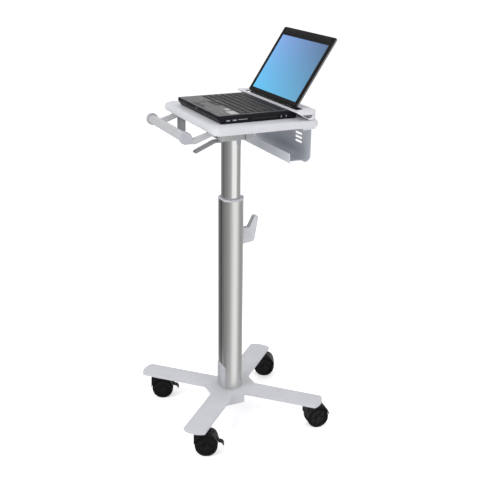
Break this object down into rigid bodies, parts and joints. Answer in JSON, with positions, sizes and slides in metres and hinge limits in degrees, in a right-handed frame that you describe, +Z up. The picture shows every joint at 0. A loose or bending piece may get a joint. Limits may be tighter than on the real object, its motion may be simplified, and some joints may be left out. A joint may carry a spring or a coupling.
{
  "type": "laptop cart",
  "caption": "Height-adjustable ward cart: flat splayed legs on twin-wheel casters, telescopic column, worktop with push handle, locked-down laptop, cable tray and side holder.",
  "frame": {"origin": "on the floor at the middle of the footprint (the bounding box seen from above); the column axis stands 2.2 mm to the left of it and 11.3 mm in front of it", "axes": "+Z up, +X to the right of a user standing at the handle, +Y away from the user; all four wheel pairs stand on Z = 0"},
  "size_m": [0.5136, 0.5318, 1.3112],
  "materials": {
    "base_paint": "satin powder coat",
    "column_aluminium": "satin anodised",
    "bright_steel": "turned, zinc plated",
    "column_steel": "plain machined",
    "pale_plastic": "fine moulded texture",
    "glide_plastic": "smooth low-friction plastic",
    "spring_black": "gloss black lacquer",
    "head_grey": "cast, lightly blasted",
    "lever_grey": "satin grey paint",
    "worktop_plastic": "fine moulded texture",
    "handle_paint": "satin powder coat",
    "tray_grey": "satin grey powder coat",
    "bracket_white": "satin powder coat",
    "laptop_palm_rest": "satin grey top, black sides",
    "laptop_black": "fine satin",
    "display_blue": "lit display, sky-blue to steel-blue gradient",
    "caster_black": "moulded nylon",
    "wheel_rubber": "smooth tread"
  },
  "bodies": {
    "base": {"base_casting": "base_paint", "outer_column": "column_aluminium", "groove_strip": "caster_black", "column_plug": "column_steel", "column_bolt_left": "bright_steel", "column_bolt_right": "bright_steel", "column_collar": "pale_plastic", "upper_glide": "glide_plastic", "foot_cover": "pale_plastic", "cord_hook": "pale_plastic", "gas_spring_cylinder": "spring_black", "caster_stem_front_left": "bright_steel", "caster_stem_front_right": "bright_steel", "caster_stem_rear_right": "bright_steel", "caster_stem_rear_left": "bright_steel"},
    "lift": {"inner_column": "column_aluminium", "lower_glide": "glide_plastic", "gas_spring_rod": "bright_steel", "head_bracket": "head_grey", "lever_pivot_pin": "bright_steel", "worktop": "worktop_plastic", "handle_tube": "handle_paint", "handle_cap_left": "pale_plastic", "handle_cap_right": "pale_plastic", "handle_arm_left": "handle_paint", "handle_arm_right": "handle_paint", "power_tray": "tray_grey", "accessory_holder": "tray_grey", "security_bracket": "bracket_white", "laptop_base": "laptop_palm_rest", "laptop_keyboard": "laptop_black", "laptop_touchpad": "laptop_palm_rest", "laptop_hinge_left": "laptop_black", "laptop_hinge_right": "laptop_black"},
    "release_lever": {"release_lever": "lever_grey"},
    "release_plunger": {"release_plunger": "bright_steel"},
    "lid": {"laptop_lid": "laptop_black", "laptop_display": "display_blue"},
    "caster_front_left": {"caster_hood_front_left": "caster_black", "caster_axle_front_left": "bright_steel"},
    "wheel_front_left_left": {"caster_wheel_front_left_left": "wheel_rubber"},
    "wheel_front_left_right": {"caster_wheel_front_left_right": "wheel_rubber"},
    "brake_front_left": {"brake_pedal_front_left": "caster_black"},
    "caster_front_right": {"caster_hood_front_right": "caster_black", "caster_axle_front_right": "bright_steel"},
    "wheel_front_right_left": {"caster_wheel_front_right_left": "wheel_rubber"},
    "wheel_front_right_right": {"caster_wheel_front_right_right": "wheel_rubber"},
    "brake_front_right": {"brake_pedal_front_right": "caster_black"},
    "caster_rear_right": {"caster_hood_rear_right": "caster_black", "caster_axle_rear_right": "bright_steel"},
    "wheel_rear_right_left": {"caster_wheel_rear_right_left": "wheel_rubber"},
    "wheel_rear_right_right": {"caster_wheel_rear_right_right": "wheel_rubber"},
    "caster_rear_left": {"caster_hood_rear_left": "caster_black", "caster_axle_rear_left": "bright_steel"},
    "wheel_rear_left_left": {"caster_wheel_rear_left_left": "wheel_rubber"},
    "wheel_rear_left_right": {"caster_wheel_rear_left_right": "wheel_rubber"}
  },
  "joints": [
    {"name": "height", "type": "slide", "parent": "base", "child": "lift", "axis": [0, 0, 1], "range_m": [-0.185, 0.115], "stiffness_N_per_m": 200, "springref_m": 0.66},
    {"name": "lever_squeeze", "type": "hinge", "parent": "lift", "child": "release_lever", "pos_m": [-0.00219, -0.05133, 1.01], "axis": [-1, 0, 0], "range_deg": [0, 7], "stiffness_Nm_per_rad": 1.5, "springref_deg": -11.46},
    {"name": "plunger_press", "type": "slide", "parent": "lift", "child": "release_plunger", "axis": [0, 0, -1], "range_m": [0, 0.0056]},
    {"name": "laptop_lid_tilt", "type": "hinge", "parent": "lift", "child": "lid", "pos_m": [-0.00219, 0.12617, 1.1048], "axis": [1, 0, 0], "range_deg": [-15, 94]},
    {"name": "swivel_front_left", "type": "hinge", "parent": "base", "child": "caster_front_left", "pos_m": [-0.20796, -0.2171, 0], "axis": [0, 0, 1], "continuous": true},
    {"name": "spin_front_left_left", "type": "hinge", "parent": "caster_front_left", "child": "wheel_front_left_left", "pos_m": [-0.19655, -0.19262, 0.0375], "axis": [-0.9063, 0.4226, 0], "continuous": true},
    {"name": "spin_front_left_right", "type": "hinge", "parent": "caster_front_left", "child": "wheel_front_left_right", "pos_m": [-0.19655, -0.19262, 0.0375], "axis": [-0.9063, 0.4226, 0], "continuous": true},
    {"name": "brake_press_front_left", "type": "hinge", "parent": "caster_front_left", "child": "brake_front_left", "pos_m": [-0.19021, -0.17903, 0.081], "axis": [-0.9063, 0.4226, 0], "range_deg": [0, 4]},
    {"name": "swivel_front_right", "type": "hinge", "parent": "base", "child": "caster_front_right", "pos_m": [0.20358, -0.2171, 0], "axis": [0, 0, 1], "continuous": true},
    {"name": "spin_front_right_left", "type": "hinge", "parent": "caster_front_right", "child": "wheel_front_right_left", "pos_m": [0.21499, -0.19262, 0.0375], "axis": [-0.9063, 0.4226, 0], "continuous": true},
    {"name": "spin_front_right_right", "type": "hinge", "parent": "caster_front_right", "child": "wheel_front_right_right", "pos_m": [0.21499, -0.19262, 0.0375], "axis": [-0.9063, 0.4226, 0], "continuous": true},
    {"name": "brake_press_front_right", "type": "hinge", "parent": "caster_front_right", "child": "brake_front_right", "pos_m": [0.22133, -0.17903, 0.081], "axis": [-0.9063, 0.4226, 0], "range_deg": [0, 4]},
    {"name": "swivel_rear_right", "type": "hinge", "parent": "base", "child": "caster_rear_right", "pos_m": [0.20358, 0.19444, 0], "axis": [0, 0, 1], "continuous": true},
    {"name": "spin_rear_right_left", "type": "hinge", "parent": "caster_rear_right", "child": "wheel_rear_right_left", "pos_m": [0.20733, 0.22118, 0.0375], "axis": [-0.9903, 0.1392, 0], "continuous": true},
    {"name": "spin_rear_right_right", "type": "hinge", "parent": "caster_rear_right", "child": "wheel_rear_right_right", "pos_m": [0.20733, 0.22118, 0.0375], "axis": [-0.9903, 0.1392, 0], "continuous": true},
    {"name": "swivel_rear_left", "type": "hinge", "parent": "base", "child": "caster_rear_left", "pos_m": [-0.20796, 0.19444, 0], "axis": [0, 0, 1], "continuous": true},
    {"name": "spin_rear_left_left", "type": "hinge", "parent": "caster_rear_left", "child": "wheel_rear_left_left", "pos_m": [-0.19655, 0.21891, 0.0375], "axis": [-0.9063, 0.4226, 0], "continuous": true},
    {"name": "spin_rear_left_right", "type": "hinge", "parent": "caster_rear_left", "child": "wheel_rear_left_right", "pos_m": [-0.19655, 0.21891, 0.0375], "axis": [-0.9063, 0.4226, 0], "continuous": true}
  ],
  "couplings": [
    {"joint": "plunger_press", "follows": "lever_squeeze", "m_per_rad": 0.043}
  ]
}
